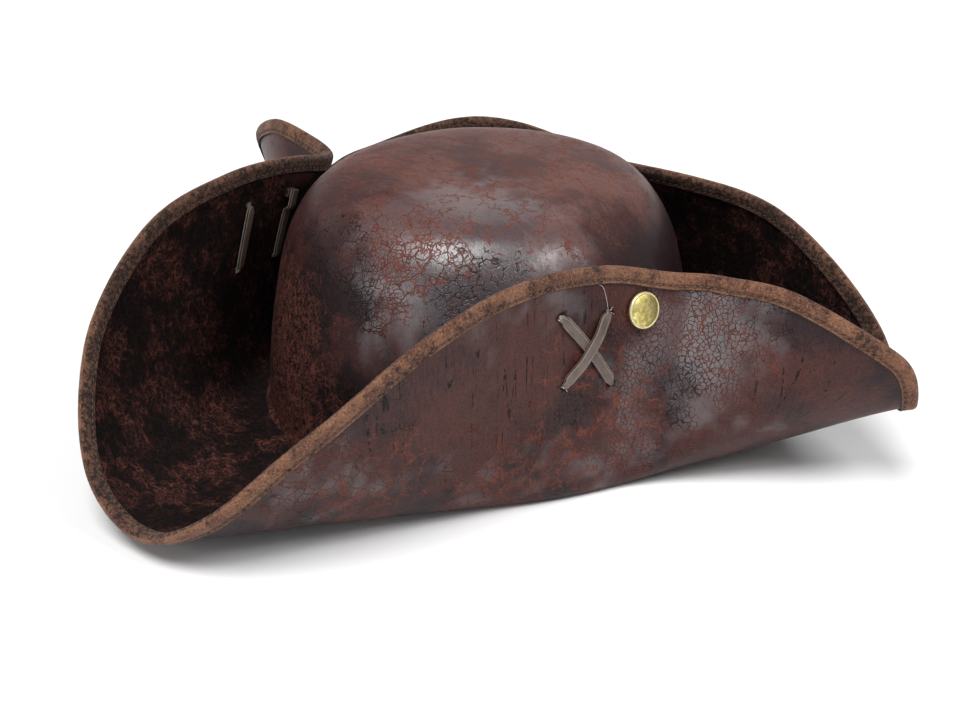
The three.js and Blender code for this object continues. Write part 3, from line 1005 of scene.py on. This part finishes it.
sheetColours = {
    "plum": (0.021, 0.0110, 0.0130, 1),
    "maroon": (0.047, 0.0178, 0.0165, 1),
    "russet": (0.080, 0.0275, 0.0215, 1),
    "rust": (0.140, 0.0420, 0.0280, 1),
    "streak": (0.150, 0.0620, 0.0500, 1),
    "sheenGrey": (0.070, 0.0530, 0.0620, 1),
    "fissure": (0.009, 0.0040, 0.0040, 1),
    "redFissure": (0.085, 0.0210, 0.0130, 1),
    "black": (0.0022, 0.0012, 0.0014, 1),
    "dusk": (0.0095, 0.0036, 0.0036, 1),
    "fibre": (0.112, 0.0360, 0.0260, 1),
}


# spans of the sheet's patterns in mm, the turn of its streaks in degrees, and the rises of its relief in mm
sheetSpans = {
    "stray": 7, "small": 6, "streaks": 2.6, "streakTurn": -43, "grain": 0.8, "slits": 7, "net": 5.2,
    "craze": 2.3, "veins": 10, "pores": 0.8, "longThreads": 7, "curlyThreads": 2.6, "swells": 6,
}
sheetRises = {"pores": 0.03, "swells": 0.25, "grain": 0.04, "net": -0.14, "slits": -0.25, "fibres": 0.2}


def makeLeather():
    material, shader = newTree("body_leather")
    colours, spans, rises = sheetColours, sheetSpans, sheetRises
    place = inMillimetres()
    loose = strayed(place, spans["stray"], 3.2)
    flow = add("Attribute", attribute_name="flow")["Vector"]
    top, blotch, shade, side, feltInShade = attributes("top", "blotch", "shade", "side", "feltInShade")
    glossAndPaintedSheen, crackle, craze, rust, grain = attributes("glossAndPaintedSheen", "crackle", "craze", "rust", "grain")
    small = patches(loose, spans["small"], 5, 0.68)
    smallUp = between(small, 0.36, 0.64)

    # blotches, with edges broken by the small noise
    broad = mixed(0.18, blotch, smallUp)
    colour = painted(between(broad, 0.36, 0.62), colours["plum"], colours["maroon"])
    worked = both(between(small, 0.48, 0.66), between(blotch, 0.4, 0.65))
    colour = painted(both(worked, 0.6), colour, colours["russet"])

    # fine streaks across the top of the crown
    across = add("Mapping", {
        "Vector": loose, "Rotation": (0, 0, math.radians(spans["streakTurn"])), "Scale": (0.1, 1, 1),
    })["Vector"]
    streaks = patches(across, spans["streaks"], 4, 0.7)
    streaked = both(top, between(mixed(0.35, streaks, blotch), 0.40, 0.62))
    colour = painted(both(top, 0.3), colour, colours["streak"])
    colour = painted(both(streaked, 0.7), colour, colours["streak"])

    # painted sheen: a grey tint on the glossy places, which also get the coat's gloss
    glossAndPaintedSheen = both(glossAndPaintedSheen, between(grain, 0.3, 1, 1, 0.35))
    paintedSheen = between(mixed(0.15, glossAndPaintedSheen, smallUp), 0.25, 0.85)
    colour = painted(both(paintedSheen, 0.4), colour, colours["sheenGrey"])

    # long fine grain down the flaps, with short dark slits in it
    grainLines = patches(stretched(flow, (1.0, 1.0, 0.13)), spans["grain"], 3, 0.6)
    lined = both(grain, between(grainLines, 0.40, 0.62, 0.25, 0.75))
    colour = painted(lined, colour, colours["russet"])
    slitNoise = patches(stretched(flow, (1.0, 1.0, 0.05)), spans["slits"], 2, 0.4)
    slits = both(between(ridge(slitNoise), 0.972, 0.99), between(small, 0.52, 0.56))
    slits = both(slits, between(grain, 0.35, 0.6))

    # crackle: a net of polygons, and a finer craze of small cells
    coarse = between(fissures(loose, spans["net"]), 0.05, 0.01)
    fineEdges = fissures(strayed(place, 2.4, 0.8), spans["craze"])
    fine = between(fineEdges, 0.10, 0.02)
    coarseSpots = between(mixed(0.3, crackle, smallUp), 0.3, 0.62)
    fineSpots = between(mixed(0.3, craze, smallUp), 0.3, 0.62)
    fineSpots = sumOf(fineSpots, both(coarseSpots, both(smallUp, 0.7)))
    net = sumOf(both(coarse, coarseSpots), both(both(fine, fineSpots), 0.85))
    netColour = painted(between(mixed(0.5, rust, blotch), 0.22, 0.46),
                        colours["fissure"], colours["redFissure"])
    colour = painted(net, colour, netColour)
    colour = painted(slits, colour, colours["black"])

    # rusty veins and worn spots
    veinEdges = fissures(strayed(loose, 16, 7), spans["veins"])
    veins = both(between(veinEdges, 0.11, 0.01), between(small, 0.40, 0.54))
    veins = both(veins, between(rust, 0.15, 0.45))
    netted = between(fineEdges, 0.16, 0.04)
    worn = between(mixed(0.55, rust, smallUp), 0.62, 0.86)
    veinCores = both(veins, between(veinEdges, 0.04, 0.01, 0, 0.7))
    rusty = sumOf(veinCores, both(sumOf(veins, worn), mixed(0.75, 0.25, netted)))
    colour = painted(both(rusty, 0.9), colour, colours["rust"])

    # pores, darker than the skin between them, and a faint painted sheen on the raised skin
    pores = patches(place, spans["pores"], 3, 0.6)
    colour = painted(between(pores, 0.49, 0.36, 0, 0.5), colour, colours["fissure"])
    colour = painted(between(pores, 0.55, 0.68, 0, 0.2), colour, colours["sheenGrey"])

    # painted shade in the troughs and on the crown's shaded sides: black, with a felt of brown fibres
    longThreads = ridge(patches(strayed(place, 10, 6), spans["longThreads"], 3, 0.5))
    curlyThreads = ridge(patches(strayed(place, 4, 2), spans["curlyThreads"], 3, 0.6, 0.5))
    fibres = sumOf(between(longThreads, 0.945, 0.99),
                   both(between(curlyThreads, 0.86, 0.98), mixed(side, 0.5, 0.85)))
    clumped = between(mixed(0.35, feltInShade, smallUp), 0.34, 0.82)
    dark = painted(clumped, colours["black"], colours["dusk"])
    hairy = both(fibres, between(clumped, 0, 1, 0.14, 0.85))
    shadeAndFelt = painted(hairy, dark, colours["fibre"])
    colour = painted(shade, colour, shadeAndFelt)

    cracked = sumOf(net, rusty)
    roughness = mixed(cracked, 0.42, 0.62)
    roughness = mixed(shade, roughness, 0.75)
    gloss = both(between(glossAndPaintedSheen, 0.2, 0.9, 0.03, 1), between(cracked, 0.7, 0.1, 0.15, 1))
    gloss = both(gloss, between(shade, 0.7, 0.1))

    relief = layered(
        (pores, rises["pores"]), (patches(loose, spans["swells"], 2, 0.4), rises["swells"]),
        (grainLines, rises["grain"]), (net, rises["net"]), (slits, rises["slits"]),
        (both(fibres, shade), rises["fibres"]))
    normal = raised(relief, mm)
    feed(shader, {
        "Base Color": colour, "Roughness": roughness, "Specular IOR Level": 0.15, "Normal": normal,
        "Coat Weight": gloss, "Coat Roughness": 0.3, "Coat IOR": 1.7, "Coat Normal": normal,
    })
    return material


tapeColours = {
    "tan": (0.180, 0.084, 0.048, 1),
    "brown": (0.100, 0.043, 0.027, 1),
    "sootAndShade": (0.014, 0.008, 0.007, 1),
    "pale": (0.300, 0.160, 0.100, 1),
}


def makeTapeFinish():
    material, shader = newTree("rim_tape")
    colours = tapeColours
    place = inMillimetres()
    inner, lip, groove = attributes("inner", "lip", "groove")
    broad = patches(strayed(place, 20, 8), 15, 5, 0.65)
    colour = painted(between(broad, 0.42, 0.60), colours["brown"], colours["tan"])
    nap = patches(place, 0.9, 3, 0.75)
    colour = painted(between(nap, 0.54, 0.66, 0, 0.7), colour, colours["pale"])
    colour = painted(between(nap, 0.47, 0.35, 0, 0.75), colour, colours["sootAndShade"])
    smudges = patches(strayed(place, 6, 3), 5.0, 5, 0.72)
    dirty = both(between(smudges, 0.52, 0.62), between(broad, 0.62, 0.42))
    colour = painted(both(dirty, 0.9), colour, colours["sootAndShade"])
    # painted shade: the inner face, which lies in the troughs, is speckled dark
    speckles = between(patches(place, 2.2, 4, 0.75), 0.47, 0.56, 0.28, 0.95)
    colour = painted(both(inner, speckles), colour, colours["sootAndShade"])
    # painted shadow along the lip at the tape's inner edge, and painted shade in the stitch groove
    colour = painted(sumOf(lip, both(groove, 0.6)), colour, colours["sootAndShade"])
    feed(shader, {
        "Base Color": colour, "Normal": raised(layered((nap, 0.3), (smudges, 0.35)), mm),
        "Roughness": 0.92, "Specular IOR Level": 0.25, "Sheen Weight": 0.08, "Sheen Roughness": 0.5,
    })
    return material


threadColours = {"dark": (0.05, 0.026, 0.018, 1), "pale": (0.17, 0.09, 0.06, 1)}


def makeThreadFinish():
    material, shader = newTree("tape_thread")
    twist = patches(inMillimetres(), 0.5, 2)
    colour = painted(twist, threadColours["dark"], threadColours["pale"])
    feed(shader, {"Base Color": colour, "Roughness": 0.7})
    return material


strapColours = {
    "dark": (0.084, 0.058, 0.047, 1),
    "pale": (0.122, 0.088, 0.074, 1),
    "speck": (0.06, 0.04, 0.034, 1),
    "cut": (0.42, 0.35, 0.29, 1),
    "gap": (0.010, 0.007, 0.006, 1),
}


def makeStrapFinish():
    material, shader = newTree("lace_strap")
    colours = strapColours
    place = inMillimetres()
    cut, gapShade = attributes("cut", "gapShade")
    colour = painted(between(patches(place, 7, 3), 0.35, 0.65), colours["dark"], colours["pale"])
    specks = patches(place, 0.6, 3)
    colour = painted(between(specks, 0.6, 0.75, 0, 0.5), colour, colours["speck"])
    colour = painted(both(cut, between(specks, 0.3, 0.55, 0.35, 0.9)), colour, colours["cut"])
    # painted shade in the gap where the middle ply stands out
    colour = painted(both(gapShade, 0.92), colour, colours["gap"])
    feed(shader, {"Base Color": colour, "Normal": raised(specks, 0.05 * mm), "Roughness": 0.5})
    return material


fibreColours = {"dark": (0.55, 0.50, 0.47, 1), "pale": (0.85, 0.80, 0.76, 1)}


def makeFibreFinish():
    material, shader = newTree("loose_fibres")
    tone = patches(inMillimetres(), 1.5, 2)
    colour = painted(tone, fibreColours["dark"], fibreColours["pale"])
    feed(shader, {"Base Color": colour, "Roughness": 0.6})
    return material


brassColours = {"aged": (0.46, 0.375, 0.11, 1), "bright": (0.84, 0.74, 0.33, 1), "rim": (0.95, 0.88, 0.55, 1)}


def makeBrass():
    material, shader = newTree("stud_brass")
    colours = brassColours
    place = inMillimetres()
    rim, = attributes("rim")
    spots = patches(place, 3.4, 4, 0.65)
    colour = painted(between(spots, 0.4, 0.62), colours["aged"], colours["bright"])
    # painted highlight along the cap's rim
    colour = painted(both(rim, 0.7), colour, colours["rim"])
    dents = patches(place, 2.2, 4)
    feed(shader, {
        "Base Color": colour, "Metallic": 0.9, "Roughness": between(spots, 0.35, 0.65, 0.52, 0.36),
        "Normal": raised(dents, 0.12 * mm),
    })
    return material


makeSheet(makeLeather())
print("sheet made")
makeTape(makeTapeFinish(), makeThreadFinish())
print("tape made")
strap = makeStrapFinish()
for flap, fastening in fastenings.items():
    makeLace("lace_" + flap, fastening, strap)
makeFibres(makeFibreFinish())
print("laces made")
brass = makeBrass()
for (flap, fastening), (spot, normal) in zip(fastenings.items(), studSpots):
    makeStud("stud_" + flap, spot, normal, fastening["side"], brass)
print("studs made")


# floor, lights and the room around them
studio = {
    "floor": {"size": 40, "colour": (0.93, 0.93, 0.93, 1), "roughness": 0.9},
    # one broad soft light from overhead: the direction it comes from, how wide it looks, and its strength
    "overhead": {"from": (0.09, -0.38, 0.92), "spread": 34, "strength": 2.75},
    # soft boxes: place in metres, width and depth in metres, power in watts, and the place that they light
    "boxes": {
        "right_key": ((0.95, 0.25, 0.95), (0.5, 0.5), 7),
        "front_fill": ((-0.12, -1.45, 0.46), (0.8, 0.5), 4.2),
        "rear_fill": ((-0.5, 1.1, 0.9), (1.0, 1.0), 2),
    },
    "lit": Vector((0, 0, 0.05)),
    # brightness of the room overhead and of its pale wall low down, and how high up the wall gives way
    "room": 0.22,
    "wall": 0.9,
    "wallTop": (0.08, 0.2),
}
view = {
    "target": Vector((0, 45.33, 1)) * mm, "azimuth": 43.3, "elevation": 26.4, "distance": 0.982,
    "lens": 77.8, "sensor": 36, "shift": (-0.001, 0.032), "clip": 0.05,
}


def makeFloor():
    bpy.ops.mesh.primitive_plane_add(size=studio["floor"]["size"])
    floor = bpy.context.active_object
    floor.name = "floor"
    material, shader = newTree("floor")
    feed(shader, {"Base Color": studio["floor"]["colour"], "Roughness": studio["floor"]["roughness"]})
    floor.data.materials.append(material)
    floor.select_set(False)


def makeLights():
    bpy.ops.object.light_add(type="SUN")
    lamp = bpy.context.active_object
    lamp.name = "overhead"
    lamp.data.angle = math.radians(studio["overhead"]["spread"])
    lamp.data.energy = studio["overhead"]["strength"]
    lamp.rotation_euler = Vector(studio["overhead"]["from"]).to_track_quat("Z", "Y").to_euler()
    azimuth = math.radians(view["azimuth"])
    aside = Vector((math.cos(azimuth), math.sin(azimuth), 0))
    for name, (place, size, power) in studio["boxes"].items():
        bpy.ops.object.light_add(type="AREA", location=place)
        lamp = bpy.context.active_object
        lamp.name = name
        lamp.data.shape = "RECTANGLE"
        lamp.data.size, lamp.data.size_y = size
        lamp.data.energy = power
        away = (Vector(place) - studio["lit"]).normalized()
        wide = (aside - away * aside.dot(away)).normalized()
        facing = Matrix((wide, away.cross(wide), away)).transposed().to_4x4()
        lamp.matrix_world = Matrix.Translation(place) @ facing
    world = bpy.data.worlds.new("pale_room")
    world.use_nodes = True
    bench["tree"] = world.node_tree
    height = add("SeparateXYZ", {0: add("TexCoord")["Generated"]})["Z"]
    brightness = between(height, *studio["wallTop"], studio["wall"], studio["room"])
    feed(world.node_tree.nodes["Background"], {"Color": (1, 1, 1, 1), "Strength": brightness})
    bpy.context.scene.world = world


def makeCamera():
    azimuth, elevation = math.radians(view["azimuth"]), math.radians(view["elevation"])
    level = math.cos(elevation)
    away = Vector((math.sin(azimuth) * level, -math.cos(azimuth) * level, math.sin(elevation)))
    bpy.ops.object.camera_add(location=view["target"] + away * view["distance"])
    camera = bpy.context.active_object
    camera.rotation_euler = away.to_track_quat("Z", "Y").to_euler()
    camera.data.lens = view["lens"]
    camera.data.sensor_width = view["sensor"]
    camera.data.shift_x, camera.data.shift_y = view["shift"]
    camera.data.clip_start = view["clip"]
    bpy.context.scene.camera = camera


makeFloor()
makeLights()
makeCamera()
bpy.context.scene.view_settings.view_transform = "Standard"
print("stage made")
